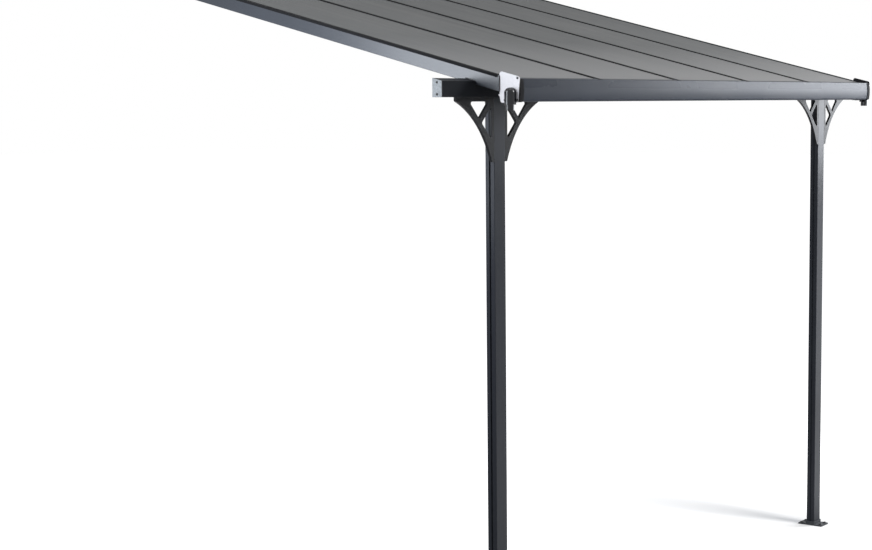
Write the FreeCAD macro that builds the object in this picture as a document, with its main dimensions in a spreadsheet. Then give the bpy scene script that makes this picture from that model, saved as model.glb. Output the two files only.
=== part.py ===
import FreeCAD, Part

import math
import os
import Sketcher
from FreeCAD import Placement, Rotation, Vector

# Wall-mounted patio cover: a sloped roof of five grey twin-wall sheets held by
# extruded aluminium rafters, hung from a rail on the house wall and carried at
# the front by a beam on two posts, with a gutter along the eave.
#
# Frame: the origin is the middle of the wall rail's back face, level with the
# hinge that the roof hangs from. +X runs along the wall, +Y points into the
# wall, and +Z is up, so that the cover reaches out along -Y.

SIZE_LIST = (
    # The whole cover
    ("projection", 2950, "wall to the gutter's front lip"),
    ("clear_height", 2100, "ground to the gutter's underside"),
    ("roof_slope", 14.6, "fall of the roof in degrees"),
    ("roof_width", 3060, "over the outer faces of the two side rafters"),
    ("panel_count", 5, "sheets across the roof"),
    ("eave_setback", 35, "gutter lip to the front edge of the sheets"),
    # Clearances
    ("seat_gap", 0.3, "between two pieces that are screwed face to face"),
    ("groove_play", 0.3, "above and below a sheet in its grooves"),
    ("panel_side_play", 2, "beside a sheet, for its growth in the sun"),
    ("trim_side_play", 1, "between an edge trim and a rafter's cover strip"),
    ("cut_margin", 2, "how far a cut starts and ends outside the piece"),
    # Roof sheets and their edge trims
    ("panel_thickness", 10, "twin-wall roof sheet"),
    ("trim_wall", 1.5, "wall of the U trim on a sheet's front edge"),
    ("trim_depth", 22, "how far the trim reaches up the sheet"),
    # Rafters, measured square to the slope
    ("cover_thickness", 2, "cover strip and ledge of every rafter"),
    ("cover_half", 12, "half the width of a middle rafter's cover strip"),
    ("web_half", 3, "half the web between the cover strip and the tube"),
    ("tube_half", 11, "half the width of a middle rafter's tube"),
    ("rafter_depth", 54, "cover strip to the underside of every rafter"),
    ("tube_wall", 2, "wall of the rafters' tubes"),
    ("side_cover", 24, "width of a side rafter's cover strip"),
    ("side_web", 8, "web of a side rafter"),
    ("side_tube", 22, "width of a side rafter's tube"),
    ("side_round", 1.5, "long outer edges of a side rafter"),
    # Header and wall rail
    ("header_depth", 45, "header rail, front to back"),
    ("header_wall", 2.5, "wall of the header rail"),
    ("header_stop", 3, "free space behind the upper ends of the sheets"),
    ("bead_radius", 6, "round bead on the header's back"),
    ("bead_reach", 18, "header's back to the middle of the bead"),
    ("bead_drop", 20, "roof surface to the middle of the bead"),
    ("bead_arm_half", 2, "half the arm that carries the bead"),
    ("hinge_play", 0.3, "between the bead and its socket"),
    ("hinge_out", 24, "wall to the middle of the socket"),
    ("socket_wall", 3, "wall of the socket"),
    ("socket_mouth_half", 4, "half the slot that the bead's arm leaves by"),
    ("rail_wall", 3, "wall flange of the rail"),
    ("rail_rise", 48, "hinge to the top of the wall flange"),
    ("rail_drop", 55, "hinge to the foot of the wall flange"),
    ("rail_web_half", 2.5, "half the web between the flange and the socket"),
    ("hood_reach", 84, "wall to the front of the rail's rain hood"),
    ("hood_wall", 2.5, "wall of the rain hood"),
    ("hood_nose", 8, "turned-down front edge of the rain hood"),
    ("rail_cap_thickness", 3, "end cap of the wall rail"),
    ("rail_cap_nose", 16, "front edge of the end cap"),
    ("rail_cap_foot", 48, "wall to the lower front corner of the end cap"),
    ("wall_bolt_radius", 4.5, "clearance hole for an 8 mm wall bolt"),
    ("wall_bolt_inset", 130, "end of the rail to the first pair of wall bolts"),
    ("wall_bolt_pairs", 4, "pairs of wall bolts, evenly spaced"),
    ("wall_bolt_up", 30, "hinge to the upper row of wall bolts"),
    ("wall_bolt_down", 40, "hinge to the lower row of wall bolts"),
    # Gutter
    ("gutter_depth", 83, "gutter, lip to back"),
    ("gutter_front", 80, "height of the gutter's front"),
    ("gutter_wall", 2, "wall of the gutter"),
    ("gutter_bow", 4, "how far the gutter's front bulges"),
    ("gutter_round", 8, "rounded lower front edge of the gutter"),
    ("lip_reach", 12, "turned-in top edge of the gutter's front"),
    ("lip_return", 6, "short return below the turned-in edge"),
    ("seat_reach", 12, "sloped seat on top of the gutter's back"),
    ("sleeve_wall", 1.5, "rubber seal round the gutter's end"),
    ("sleeve_length", 22, "how far the seal reaches along the gutter"),
    ("seal_top", 1, "gutter's top edge to the top of the seal"),
    ("seal_face", 6, "how far the seal covers the trough's end"),
    ("seal_thickness", 2, "seal between the gutter and its end plate"),
    ("plate_thickness", 3, "gutter end plate"),
    ("plate_rise", 15, "end plate above the roof surface"),
    ("plate_drop", 3, "end plate below the gutter"),
    ("plate_front", 1, "end plate in front of the gutter's lip"),
    ("plate_back", 1, "end plate behind the gutter's back"),
    ("plate_taper_front", 7, "how far the plate's front leans in"),
    ("plate_taper_back", 5, "how far the plate's back leans in"),
    ("plate_round", 9, "corners of the end plate"),
    ("plate_tab", 7, "tab on the plate's back, under the side rafter"),
    ("plate_tab_up", 20, "gutter's underside to the tab"),
    ("plate_tab_height", 6, "height of the tab"),
    # Gutter outlet heads
    ("head_middle", 33, "gutter lip to the middle of the outlet"),
    ("head_half", 19.5, "half the width of the outlet head"),
    ("head_straight", 12, "end plate to the middle of the round"),
    ("head_rise", 50, "gutter's underside to the top of the dome"),
    ("head_dome", 19, "radius of the dome's edge"),
    ("head_wall", 2.5, "wall of the outlet head"),
    ("head_base", 10, "floor of the outlet head below the gutter"),
    ("outlet_half", 15, "half the outlet window in the end plate"),
    ("outlet_sill", 6, "gutter's underside to the window's sill"),
    ("outlet_top", 36, "gutter's underside to the window's top"),
    ("spigot_radius", 16, "outside of the downpipe spigot"),
    ("spigot_length", 20, "length of the downpipe spigot"),
    # Front beam
    ("beam_setback", 185, "gutter lip to the front face of the beam"),
    ("beam_depth", 40, "beam, front to back"),
    ("beam_height", 56, "front face of the beam"),
    ("beam_wall", 2.5, "wall of the beam"),
    ("beam_overhang", 200, "beam past the outer face of a side rafter"),
    ("beam_notch", 14, "how deep the rafters are notched over the beam"),
    ("beam_cap", 3, "end cap of the beam"),
    ("saddle_thickness", 3, "saddle between a rafter and the beam"),
    ("saddle_half", 20, "half the width of a saddle"),
    ("saddle_lip", 5, "saddle's drop over the beam's back and front"),
    ("saddle_lip_wall", 2, "wall of that lip"),
    # Posts and feet
    ("post_inset", 150, "side rafter's outer face to the middle of a post"),
    ("post_width", 68, "post along the beam"),
    ("post_depth", 40, "post, front to back"),
    ("post_wall", 2, "wall of the post"),
    ("post_round", 1.5, "outer corners of the post"),
    ("slot_half", 4, "half the screw slot in a post's side"),
    ("slot_depth", 5, "depth of the screw slot"),
    ("foot_length", 125, "foot plate, front to back"),
    ("foot_width", 80, "foot plate along the beam"),
    ("foot_thickness", 6, "foot plate"),
    ("foot_round", 6, "corners of the foot plate"),
    ("skirt_wall", 3, "skirt round the post's lower end"),
    ("skirt_height", 14, "height of the skirt"),
    ("skirt_play", 0.3, "between the skirt and the post"),
    ("foot_bolt_radius", 4.5, "clearance hole for an 8 mm ground bolt"),
    ("foot_bolt_x", 24, "middle of the foot to a bolt, along the beam"),
    ("foot_bolt_y", 50, "middle of the foot to a bolt, front to back"),
    # Corner brackets
    ("bracket_reach", 232, "post or beam face to a bracket's tip"),
    ("bracket_thickness", 10, "bracket plate"),
    ("bracket_leg", 15.5, "width of the legs"),
    ("bracket_tip", 14, "height of the rounded tips"),
    ("bracket_arc", 368, "radius of the concave edge"),
    ("bracket_chord", 168, "where the openings end, along both legs"),
    ("bracket_strut", 15, "middle of the strut to its edge, along a leg"),
    ("bracket_round", 7, "corners of the openings"),
    ("tip_round", 6, "outer corners of the tips"),
)

doc = FreeCAD.newDocument("PatioCover")
sheet = doc.addObject("Spreadsheet::Sheet", "Sizes")
for row, (alias, value, meaning) in enumerate(SIZE_LIST, start=1):
    sheet.set(f"A{row}", str(value))
    sheet.setAlias(f"A{row}", alias)
    sheet.set(f"B{row}", meaning)
doc.recompute()


class Size:
    """A length that knows its value and the sheet formula that gives it."""

    def __init__(self, value, formula):
        self.value = float(value)
        self.formula = formula

    def __add__(self, other):
        other = as_size(other)
        return Size(self.value + other.value, f"({self.formula} + {other.formula})")

    def __sub__(self, other):
        other = as_size(other)
        return Size(self.value - other.value, f"({self.formula} - {other.formula})")

    def __mul__(self, other):
        other = as_size(other)
        return Size(self.value * other.value, f"({self.formula} * {other.formula})")

    def __truediv__(self, other):
        other = as_size(other)
        return Size(self.value / other.value, f"({self.formula} / {other.formula})")

    def __neg__(self):
        return Size(-self.value, f"(0 - {self.formula})")

    def root(self):
        return Size(math.sqrt(self.value), f"sqrt({self.formula})")


def as_size(number):
    """A plain number is a size whose formula is that number."""
    if isinstance(number, Size):
        return number
    return Size(number, f"({number})")


S = {alias: Size(value, f"Sizes.{alias}") for alias, value, meaning in SIZE_LIST}

SLOPE = math.radians(S["roof_slope"].value)
FALL = Size(math.tan(SLOPE), "tan(Sizes.roof_slope)")
RUN = Size(math.cos(SLOPE), "cos(Sizes.roof_slope)")
RISE = Size(math.sin(SLOPE), "sin(Sizes.roof_slope)")
SIDES = (("left", -1), ("right", 1))

# The roof's own frame lies on its upper surface, at the front edge of the
# sheets: y runs up the slope and z stands square to it.
bead_y = (S["projection"] - S["eave_setback"] - S["hinge_out"] - S["bead_drop"] * RISE) / RUN
header_back = bead_y - S["bead_reach"]
header_front = header_back - S["header_depth"]
panel_length = header_back - S["header_wall"] - S["header_stop"]
rafter_length = header_front - S["seat_gap"]
sheet_top = -(S["cover_thickness"] + S["groove_play"])
sheet_base = sheet_top - S["panel_thickness"]
ledge_top = sheet_base - S["groove_play"]
ledge_base = ledge_top - S["cover_thickness"]
panel_pitch = S["roof_width"] / S["panel_count"]
half_roof = S["roof_width"] / 2

# The same frame seen from the wall
eave_y = S["eave_setback"] - S["projection"]
eave_z = S["bead_drop"] * RUN - bead_y * RISE
lip_y = -S["projection"]
gutter_base = eave_z - S["gutter_front"]
ground_z = gutter_base - S["clear_height"]
gutter_half = half_roof - S["side_web"] - S["panel_side_play"]
plate_inner = gutter_half + S["seal_thickness"]
plate_outer = plate_inner + S["plate_thickness"]
gutter_middle = S["gutter_front"] / 2
bow_radius = (gutter_middle * gutter_middle + S["gutter_bow"] * S["gutter_bow"]) / (S["gutter_bow"] * 2)

# The beam sits under the rafters, and the posts under the beam
beam_front_y = lip_y + S["beam_setback"]
notch_depth = S["rafter_depth"] - S["beam_notch"]
notch_over_beam = eave_z + (S["beam_setback"] - S["eave_setback"]) * FALL - notch_depth / RUN
beam_top = notch_over_beam - S["seat_gap"] * 2 - S["saddle_thickness"]
beam_base = beam_top - S["beam_height"]
beam_half = half_roof + S["beam_overhang"] - S["beam_cap"]
post_y = beam_front_y + S["beam_depth"] / 2
post_x = half_roof - S["post_inset"]
foot_top = ground_z + S["foot_thickness"]
post_height = beam_base - foot_top - S["seat_gap"] * 2

MARGIN = S["cut_margin"]
finished = []


def origin_plane(body, role):
    """The body's own origin plane of that role."""
    for feature in body.Origin.OriginFeatures:
        if feature.Role == role:
            return feature
    raise ValueError(f"{body.Label} has no {role}")


def new_body(name, x=0, y=0, z=0, tilted=False):
    """A piece placed by sheet formulas, and tilted if it lies in the roof."""
    body = doc.addObject("PartDesign::Body", name)
    body.Label = name
    axis = Vector(1, 0, 0)
    angle = S["roof_slope"].value if tilted else 0
    body.Placement = Placement(Vector(0, 0, 0), Rotation(axis, angle))
    if tilted:
        body.setExpression("Placement.Rotation.Angle", S["roof_slope"].formula)
    for key, place in (("x", x), ("y", y), ("z", z)):
        body.setExpression(f"Placement.Base.{key}", as_size(place).formula)
    finished.append(body)
    return body


def roof_body(name, x=0):
    """A piece that lies in the roof's own frame."""
    return new_body(name, x, eave_y, eave_z, tilted=True)


def new_sketch(body, name, role, offset=0):
    """A sketch on one of the body's origin planes, moved along its normal."""
    sketch = body.newObject("Sketcher::SketchObject", name)
    sketch.AttachmentSupport = [(origin_plane(body, role), "")]
    sketch.MapMode = "FlatFace"
    offset = as_size(offset)
    sketch.AttachmentOffset = Placement(Vector(0, 0, offset.value), Rotation())
    if offset.value != 0:
        sketch.setExpression("AttachmentOffset.Base.z", offset.formula)
    return sketch


def tie_point(sketch, edge, end, x, y):
    """Tie one point of the sketch to the sheet, measured from its origin."""
    for kind, axis, size in (("DistanceX", -2, x), ("DistanceY", -1, y)):
        if abs(size.value) < 1e-9:
            sketch.addConstraint(Sketcher.Constraint("PointOnObject", edge, end, axis))
        elif size.value > 0:
            index = sketch.addConstraint(Sketcher.Constraint(kind, -1, 1, edge, end, size.value))
            sketch.setExpression(f"Constraints[{index}]", size.formula)
        else:
            index = sketch.addConstraint(Sketcher.Constraint(kind, edge, end, -1, 1, -size.value))
            sketch.setExpression(f"Constraints[{index}]", (-size).formula)


def arc_between(start, end, radius, side):
    """An arc from start to end; its middle lies on the given side."""
    chord = end - start
    half = chord.Length / 2
    normal = Vector(-chord.y, chord.x, 0).normalize() * side
    middle = (start + end) / 2 + normal * math.sqrt(radius * radius - half * half)
    circle = Part.Circle(middle, Vector(0, 0, 1), radius)
    begin = math.atan2(start.y - middle.y, start.x - middle.x)
    finish = math.atan2(end.y - middle.y, end.x - middle.x)
    if side > 0:
        return Part.ArcOfCircle(circle, begin, finish), 1
    return Part.ArcOfCircle(circle, finish, begin), 2


def draw_loop(sketch, points):
    """A closed outline through the points; each point is (x, y), or
    (x, y, radius, side) where an arc leads on to the next point."""
    corners = [(as_size(point[0]), as_size(point[1])) for point in points]
    places = [Vector(x.value, y.value, 0) for x, y in corners]
    starts = []
    for index, point in enumerate(points):
        here = places[index]
        there = places[(index + 1) % len(places)]
        if len(point) == 2:
            edge = sketch.addGeometry(Part.LineSegment(here, there))
            starts.append((edge, 1))
            continue
        radius, side = point[2], point[3]
        arc, start_end = arc_between(here, there, radius.value, side)
        edge = sketch.addGeometry(arc)
        starts.append((edge, start_end))
        tie = sketch.addConstraint(Sketcher.Constraint("Radius", edge, radius.value))
        sketch.setExpression(f"Constraints[{tie}]", radius.formula)
    for index, (edge, start_end) in enumerate(starts):
        next_edge, next_end = starts[(index + 1) % len(starts)]
        far_end = 2 if start_end == 1 else 1
        sketch.addConstraint(Sketcher.Constraint("Coincident", edge, far_end, next_edge, next_end))
        tie_point(sketch, edge, start_end, corners[index][0], corners[index][1])


def draw_circle(sketch, x, y, radius):
    """A circle whose middle and radius follow the sheet."""
    x, y = as_size(x), as_size(y)
    circle = Part.Circle(Vector(x.value, y.value, 0), Vector(0, 0, 1), radius.value)
    edge = sketch.addGeometry(circle)
    tie_point(sketch, edge, 3, x, y)
    tie = sketch.addConstraint(Sketcher.Constraint("Radius", edge, radius.value))
    sketch.setExpression(f"Constraints[{tie}]", radius.formula)


def rectangle(x0, y0, x1, y1):
    """The corners of an upright rectangle."""
    return [(x0, y0), (x1, y0), (x1, y1), (x0, y1)]


def pad(body, sketch, length, both_ways=False, backwards=False):
    """Material over the sketch, along the plane's normal or against it."""
    feature = body.newObject("PartDesign::Pad", f"{sketch.Name}_pad")
    feature.Profile = sketch
    feature.SideType = "Symmetric" if both_ways else "One side"
    feature.Reversed = backwards
    feature.Length = as_size(length).value
    feature.setExpression("Length", as_size(length).formula)
    sketch.Visibility = False
    doc.recompute()
    return feature


def pocket(body, sketch, length, both_ways=False, backwards=False):
    """A cut of the sketch's outline; it has to take material away."""
    before = body.Shape.Volume
    feature = body.newObject("PartDesign::Pocket", f"{sketch.Name}_cut")
    feature.Profile = sketch
    feature.SideType = "Symmetric" if both_ways else "One side"
    feature.Reversed = backwards
    feature.Length = as_size(length).value
    feature.setExpression("Length", as_size(length).formula)
    sketch.Visibility = False
    doc.recompute()
    if body.Shape.Volume > before - 1e-3:
        raise RuntimeError(f"{feature.Name} cuts nothing")
    return feature


def round_edges(body, name, radius, chosen):
    """Round the edges of the body's last feature that the test chooses."""
    base = body.Tip
    names = [f"Edge{number}" for number, edge in enumerate(base.Shape.Edges, start=1) if chosen(edge)]
    if not names:
        raise RuntimeError(f"{name} finds no edge")
    feature = body.newObject("PartDesign::Fillet", name)
    feature.Base = (base, names)
    feature.Radius = radius.value
    feature.setExpression("Radius", radius.formula)
    doc.recompute()
    return feature


def runs_along(edge, axis):
    """True for a straight edge parallel to the axis."""
    if not isinstance(edge.Curve, Part.Line):
        return False
    return abs(abs(edge.Curve.Direction.dot(axis)) - 1) < 1e-6


HAIR = 0.01
X_AXIS = Vector(1, 0, 0)
Y_AXIS = Vector(0, 1, 0)
Z_AXIS = Vector(0, 0, 1)


# The wall rail is one extrusion: a flange on the wall, a socket that the roof
# hangs in, and a hood that keeps rain out of the joint.
def make_wall_rail():
    body = new_body("wall_rail")
    hood_front = -S["hood_reach"]
    hood_top = S["rail_rise"] - S["hood_reach"] * FALL
    hood_inner = hood_front + S["hood_wall"]
    under = S["hood_wall"] / RUN
    web_end = S["hinge_out"] - S["bead_radius"] - S["hinge_play"]
    profile = new_sketch(body, "rail_profile", "YZ_Plane")
    draw_loop(profile, [
        (0, -S["rail_drop"]),
        (0, S["rail_rise"]),
        (hood_front, hood_top),
        (hood_front, hood_top - S["hood_nose"]),
        (hood_inner, hood_top - S["hood_nose"]),
        (hood_inner, hood_top - under + S["hood_wall"] * FALL),
        (-S["rail_wall"], S["rail_rise"] - under - S["rail_wall"] * FALL),
        (-S["rail_wall"], S["rail_web_half"]),
        (-web_end, S["rail_web_half"]),
        (-web_end, -S["rail_web_half"]),
        (-S["rail_wall"], -S["rail_web_half"]),
        (-S["rail_wall"], -S["rail_drop"]),
    ])
    pad(body, profile, S["roof_width"], both_ways=True)
    socket_bore = S["bead_radius"] + S["hinge_play"]
    socket_outer = socket_bore + S["socket_wall"]
    ring = new_sketch(body, "socket_ring", "YZ_Plane")
    draw_circle(ring, -S["hinge_out"], 0, socket_outer)
    pad(body, ring, S["roof_width"], both_ways=True)
    bore = new_sketch(body, "socket_bore", "YZ_Plane")
    draw_circle(bore, -S["hinge_out"], 0, socket_bore)
    pocket(body, bore, S["roof_width"] + MARGIN, both_ways=True)
    mouth = new_sketch(body, "socket_mouth", "YZ_Plane")
    far = socket_outer + MARGIN
    half = S["socket_mouth_half"]
    draw_loop(mouth, [
        (half * RISE - S["hinge_out"], -half * RUN),
        (half * RISE - S["hinge_out"] - far * RUN, -half * RUN - far * RISE),
        (-half * RISE - S["hinge_out"] - far * RUN, half * RUN - far * RISE),
        (-half * RISE - S["hinge_out"], half * RUN),
    ])
    pocket(body, mouth, S["roof_width"] + MARGIN, both_ways=True)
    holes = new_sketch(body, "wall_bolt_holes", "XZ_Plane")
    outermost = half_roof - S["wall_bolt_inset"]
    gaps = int(S["wall_bolt_pairs"].value) - 1
    for pair in range(gaps + 1):
        across = outermost * (2 * pair - gaps) / gaps
        draw_circle(holes, across, S["wall_bolt_up"], S["wall_bolt_radius"])
        draw_circle(holes, across, -S["wall_bolt_down"], S["wall_bolt_radius"])
    pocket(body, holes, S["rail_wall"] + MARGIN, backwards=True)


# A moulded cap closes each end of the rail and hides the roof's hinge.
def make_wall_rail_cap(side_name, side):
    edge_x = (half_roof + S["seat_gap"]) * side
    body = new_body(f"wall_rail_cap_{side_name}", edge_x)
    hood_front = -S["hood_reach"]
    hood_top = S["rail_rise"] - S["hood_reach"] * FALL
    outline = new_sketch(body, "cap_outline", "YZ_Plane")
    draw_loop(outline, [
        (0, -S["rail_drop"]),
        (0, S["rail_rise"]),
        (hood_front, hood_top),
        (hood_front, hood_top - S["rail_cap_nose"]),
        (-S["rail_cap_foot"], -S["rail_drop"]),
    ])
    pad(body, outline, S["rail_cap_thickness"], backwards=side < 0)
    round_edges(body, "cap_corners", S["hood_wall"], lambda edge: runs_along(edge, X_AXIS)
                and edge.CenterOfMass.y < -S["rail_wall"].value)


# The header takes the upper ends of the sheets in its slot and the rafters
# against its front, and hangs in the wall rail by a round bead.
def make_header_rail():
    body = roof_body("header_rail")
    wall = S["header_wall"]
    arm = S["bead_arm_half"]
    profile = new_sketch(body, "header_profile", "YZ_Plane")
    draw_loop(profile, [
        (header_front, 0),
        (header_back, 0),
        (header_back, arm - S["bead_drop"]),
        (bead_y, arm - S["bead_drop"]),
        (bead_y, -arm - S["bead_drop"]),
        (header_back, -arm - S["bead_drop"]),
        (header_back, -S["rafter_depth"]),
        (header_front, -S["rafter_depth"]),
        (header_front, ledge_top),
        (header_back - wall, ledge_top),
        (header_back - wall, -S["cover_thickness"]),
        (header_front, -S["cover_thickness"]),
    ])
    draw_loop(profile, rectangle(header_front + wall, wall - S["rafter_depth"],
                                 header_back - wall, ledge_top - wall))
    pad(body, profile, S["roof_width"], both_ways=True)
    bead = new_sketch(body, "header_bead", "YZ_Plane")
    draw_circle(bead, bead_y, -S["bead_drop"], S["bead_radius"])
    pad(body, bead, S["roof_width"], both_ways=True)


# A plumb line behind the sheets' front edge, seen in the roof's own frame at the
# depth given: a cut along it is plumb although the rafter slopes.
def plumb_line(behind, depth):
    return (behind - depth * RISE) / RUN


# The rafters end plumb against the gutter's back wall.
BEHIND_GUTTER = S["gutter_depth"] - S["eave_setback"] + S["seat_gap"]


# Every rafter is notched over the beam and the saddle's lips, as wide as given.
def notch_over(body, width):
    low = S["rafter_depth"] + MARGIN
    clear = S["saddle_lip_wall"] + S["seat_gap"] * 2
    front = S["beam_setback"] - S["eave_setback"] - clear
    back = front + S["beam_depth"] + clear * 2
    notch = new_sketch(body, "beam_notch", "YZ_Plane")
    draw_loop(notch, [
        (plumb_line(front, low), -low),
        (plumb_line(back, low), -low),
        (plumb_line(back, notch_depth), -notch_depth),
        (plumb_line(front, notch_depth), -notch_depth),
    ])
    pocket(body, notch, (width + MARGIN) * 2, both_ways=True)


# A middle rafter: a tube with a ledge under the sheets, a web between them and
# a cover strip over the joint. Its front is cut round the gutter's back.
def make_rafter(number):
    x = panel_pitch * number - half_roof
    body = roof_body(f"rafter_{number}", x)
    cover, web, tube = S["cover_half"], S["web_half"], S["tube_half"]
    base = -S["rafter_depth"]
    profile = new_sketch(body, "rafter_profile", "XZ_Plane")
    right = [
        (cover, as_size(0)),
        (cover, -S["cover_thickness"]),
        (web, -S["cover_thickness"]),
        (web, ledge_top),
        (cover, ledge_top),
        (cover, ledge_base),
        (tube, ledge_base),
        (tube, base),
    ]
    draw_loop(profile, right + [(-across, down) for across, down in reversed(right)])
    inner = tube - S["tube_wall"]
    draw_loop(profile, rectangle(-inner, base + S["tube_wall"], inner, ledge_base))
    pad(body, profile, rafter_length, backwards=True)
    notch = new_sketch(body, "rafter_notch", "YZ_Plane")
    low = S["rafter_depth"] + MARGIN
    draw_loop(notch, [
        (-MARGIN, ledge_base),
        (plumb_line(BEHIND_GUTTER, -ledge_base), ledge_base),
        (plumb_line(BEHIND_GUTTER, low), -low),
        (-MARGIN, -low),
    ])
    pocket(body, notch, (tube + MARGIN) * 2, both_ways=True)
    notch_over(body, tube)


# A side rafter is closed on its outer face and holds one sheet. It ends plumb
# against the gutter's back, beside the end plate.
def make_side_rafter(side_name, side):
    body = roof_body(f"side_rafter_{side_name}", half_roof * side)
    cover, web, tube = S["side_cover"], S["side_web"], S["side_tube"]
    base = -S["rafter_depth"]
    profile = new_sketch(body, "side_profile", "XZ_Plane")
    draw_loop(profile, [
        (0, 0),
        (cover * -side, 0),
        (cover * -side, -S["cover_thickness"]),
        (web * -side, -S["cover_thickness"]),
        (web * -side, ledge_top),
        (cover * -side, ledge_top),
        (cover * -side, ledge_base),
        (tube * -side, ledge_base),
        (tube * -side, base),
        (0, base),
    ])
    wall = S["tube_wall"]
    draw_loop(profile, rectangle(wall * -side, base + wall, (tube - wall) * -side, ledge_base))
    pad(body, profile, rafter_length, backwards=True)
    round_edges(body, "side_long_edges", S["side_round"], lambda edge: runs_along(edge, Y_AXIS)
                and abs(edge.CenterOfMass.x) < HAIR)
    cut = new_sketch(body, "side_end_cut", "YZ_Plane")
    low = S["rafter_depth"] + MARGIN
    draw_loop(cut, [
        (-MARGIN, MARGIN),
        (plumb_line(BEHIND_GUTTER, -MARGIN), MARGIN),
        (plumb_line(BEHIND_GUTTER, low), -low),
        (-MARGIN, -low),
    ])
    pocket(body, cut, (cover + MARGIN) * 2, both_ways=True)
    notch_over(body, cover)


# One roof sheet lies between two webs, from the eave into the header's slot.
def panel_edges(number):
    left = panel_pitch * (number - 1) - half_roof + S["web_half"] + S["panel_side_play"]
    right = panel_pitch * number - half_roof - S["web_half"] - S["panel_side_play"]
    if number == 1:
        left = S["side_web"] + S["panel_side_play"] - half_roof
    if number == int(S["panel_count"].value):
        right = half_roof - S["side_web"] - S["panel_side_play"]
    return left, right


def make_roof_panel(number):
    left, right = panel_edges(number)
    body = roof_body(f"roof_panel_{number}")
    outline = new_sketch(body, "panel_outline", "XY_Plane", sheet_base)
    draw_loop(outline, rectangle(left, 0, right, panel_length))
    pad(body, outline, S["panel_thickness"])


# A U trim closes the flutes at the front edge of each sheet.
def make_edge_trim(number):
    left = panel_pitch * (number - 1) - half_roof + S["cover_half"] + S["trim_side_play"]
    right = panel_pitch * number - half_roof - S["cover_half"] - S["trim_side_play"]
    if number == 1:
        left = S["side_cover"] + S["trim_side_play"] - half_roof
    if number == int(S["panel_count"].value):
        right = half_roof - S["side_cover"] - S["trim_side_play"]
    body = roof_body(f"panel_edge_trim_{number}", left)
    wall, play = S["trim_wall"], S["groove_play"]
    profile = new_sketch(body, "trim_profile", "YZ_Plane")
    draw_loop(profile, [
        (-play - wall, sheet_top + play + wall),
        (S["trim_depth"], sheet_top + play + wall),
        (S["trim_depth"], sheet_top + play),
        (-play, sheet_top + play),
        (-play, sheet_base - play),
        (S["trim_depth"], sheet_base - play),
        (S["trim_depth"], sheet_base - play - wall),
        (-play - wall, sheet_base - play - wall),
    ])
    pad(body, profile, right - left)


# The gutter's front is a shallow arc. This is where a skin that lies outside the
# arc by the distance given stands at a height, behind the gutter's foremost line.
def bowed_front(outside, height):
    reach = bow_radius + outside
    rise = as_size(height) - gutter_middle
    return bow_radius - (reach * reach - rise * rise).root()


# The same skin's point where the arc runs into the rounded lower edge.
def bow_end(outside):
    corner = S["gutter_round"]
    share = (bow_radius + outside) / (bow_radius - corner)
    along = bow_radius - (bow_radius - bowed_front(-corner, corner)) * share
    return along, gutter_middle - (gutter_middle - corner) * share


# The gutter is an open trough with a turned-in front lip. The seat on its back
# lies parallel to the roof and carries the rafters' ledges.
def make_gutter():
    body = new_body("gutter", 0, lip_y, gutter_base)
    wall = S["gutter_wall"]
    front, depth = S["gutter_front"], S["gutter_depth"]
    under_ledge = front - S["eave_setback"] * FALL + (ledge_base - S["seat_gap"]) / RUN
    seat_front = depth - S["seat_reach"]
    thick = wall / RUN
    outer_foot, inner_foot = bowed_front(0, 0), bowed_front(-wall, wall)
    profile = new_sketch(body, "gutter_profile", "YZ_Plane")
    draw_loop(profile, [
        (outer_foot, 0),
        (depth, 0),
        (depth, under_ledge + depth * FALL),
        (seat_front, under_ledge + seat_front * FALL),
        (seat_front, under_ledge + seat_front * FALL - thick),
        (depth - wall, under_ledge + (depth - wall) * FALL - thick),
        (depth - wall, wall),
        (inner_foot, wall, bow_radius - wall, -1),
        (inner_foot, front - wall),
        (S["lip_reach"] - wall, front - wall),
        (S["lip_reach"] - wall, front - S["lip_return"]),
        (S["lip_reach"], front - S["lip_return"]),
        (S["lip_reach"], front),
        (outer_foot, front, bow_radius, 1),
    ])
    pad(body, profile, gutter_half * 2, both_ways=True)
    round_edges(body, "gutter_lower_edge", S["gutter_round"], lambda edge: runs_along(edge, X_AXIS)
                and abs(edge.CenterOfMass.y - outer_foot.value) < HAIR
                and abs(edge.CenterOfMass.z) < HAIR)
    inner_round = S["gutter_round"] - wall
    round_edges(body, "gutter_inner_edge", inner_round, lambda edge: runs_along(edge, X_AXIS)
                and abs(edge.CenterOfMass.y - inner_foot.value) < HAIR
                and abs(edge.CenterOfMass.z - wall.value) < HAIR)


# A rubber seal wraps each end of the gutter.
def make_gutter_seal(side_name, side):
    body = new_body(f"gutter_seal_{side_name}", gutter_half * side, lip_y, gutter_base)
    wall = S["sleeve_wall"]
    back = S["gutter_depth"] - wall
    top = S["gutter_front"] - S["seal_top"]
    thin, corner = S["seat_gap"], S["gutter_round"]
    skin = thin + wall
    turn = bowed_front(-corner, corner)
    face = new_sketch(body, "seal_face", "YZ_Plane", thin * side)
    draw_loop(face, [
        (turn, -skin),
        (back, -skin),
        (back, top),
        (bowed_front(skin, top), top, bow_radius + skin, 1),
        (*bow_end(skin), corner + skin, 1),
    ])
    inner = S["seal_face"]
    draw_loop(face, rectangle(inner, inner, S["gutter_depth"] - inner, top - inner))
    pad(body, face, S["seal_thickness"] - thin * 2, backwards=side < 0)
    sleeve = new_sketch(body, "seal_sleeve", "YZ_Plane", thin * side)
    draw_loop(sleeve, [
        (turn, -skin),
        (back, -skin),
        (back, -thin),
        (turn, -thin, corner + thin, -1),
        (*bow_end(thin), bow_radius + thin, -1),
        (bowed_front(thin, top), top),
        (bowed_front(skin, top), top, bow_radius + skin, 1),
        (*bow_end(skin), corner + skin, 1),
    ])
    pad(body, sleeve, S["sleeve_length"], backwards=side > 0)


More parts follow.
